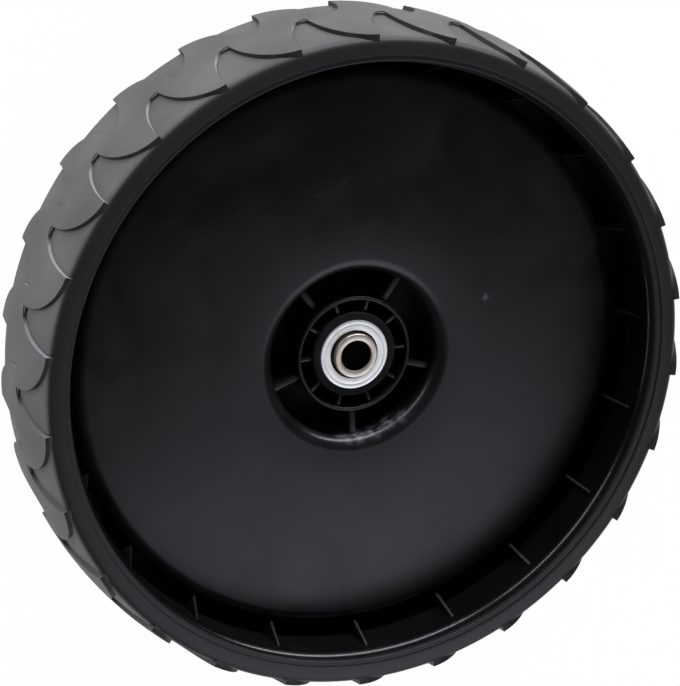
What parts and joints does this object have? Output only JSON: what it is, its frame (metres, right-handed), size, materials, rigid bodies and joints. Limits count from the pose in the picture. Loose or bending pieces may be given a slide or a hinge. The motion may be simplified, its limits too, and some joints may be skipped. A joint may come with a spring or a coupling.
{
  "type": "lawn mower wheel",
  "caption": "Plastic lawn mower wheel with a fish-scale tread on its soft tyre, a ribbed slot round a domed disc, a recessed ribbed hub and shielded ball bearings.",
  "frame": {"origin": "on the axle's axis, halfway through the width of the tread", "axes": "+Z along the axle, out of the wheel's outer face, so the wheel lies on its side; +X through one of the ribs of the slot"},
  "size_m": [0.2664, 0.2664, 0.056],
  "materials": {
    "tyre": "satin moulded rubber",
    "moulding": "satin black moulded plastic",
    "zinc_steel": "bright zinc plated",
    "ring_steel": "turned steel",
    "spacer_steel": "plain steel tube",
    "cage_steel": "pressed steel",
    "ball_steel": "polished"
  },
  "bodies": {
    "wheel": {"wheel": "moulding", "tyre": "tyre", "bearing_front_outer_ring": "zinc_steel", "bearing_front_shield": "zinc_steel", "bearing_rear_outer_ring": "zinc_steel", "bearing_rear_shield": "zinc_steel"},
    "axle_sleeve": {"bearing_front_inner_ring": "ring_steel", "bearing_spacer": "spacer_steel", "bearing_rear_inner_ring": "ring_steel"},
    "front_cage": {"bearing_front_cage": "cage_steel", "bearing_front_ball_1": "ball_steel", "bearing_front_ball_2": "ball_steel", "bearing_front_ball_3": "ball_steel", "bearing_front_ball_4": "ball_steel", "bearing_front_ball_5": "ball_steel", "bearing_front_ball_6": "ball_steel", "bearing_front_ball_7": "ball_steel", "bearing_front_ball_8": "ball_steel"},
    "rear_cage": {"bearing_rear_cage": "cage_steel", "bearing_rear_ball_1": "ball_steel", "bearing_rear_ball_2": "ball_steel", "bearing_rear_ball_3": "ball_steel", "bearing_rear_ball_4": "ball_steel", "bearing_rear_ball_5": "ball_steel", "bearing_rear_ball_6": "ball_steel", "bearing_rear_ball_7": "ball_steel", "bearing_rear_ball_8": "ball_steel"}
  },
  "joints": [
    {"name": "axle_spin", "type": "hinge", "parent": "wheel", "child": "axle_sleeve", "pos_m": [0, 0, 0], "axis": [0, 0, 1], "continuous": true},
    {"name": "front_cage_spin", "type": "hinge", "parent": "wheel", "child": "front_cage", "pos_m": [0, 0, 0], "axis": [0, 0, 1], "continuous": true},
    {"name": "rear_cage_spin", "type": "hinge", "parent": "wheel", "child": "rear_cage", "pos_m": [0, 0, 0], "axis": [0, 0, 1], "continuous": true}
  ],
  "couplings": [
    {"joint": "front_cage_spin", "follows": "axle_spin", "ratio": 0.3867},
    {"joint": "rear_cage_spin", "follows": "axle_spin", "ratio": 0.3867}
  ]
}
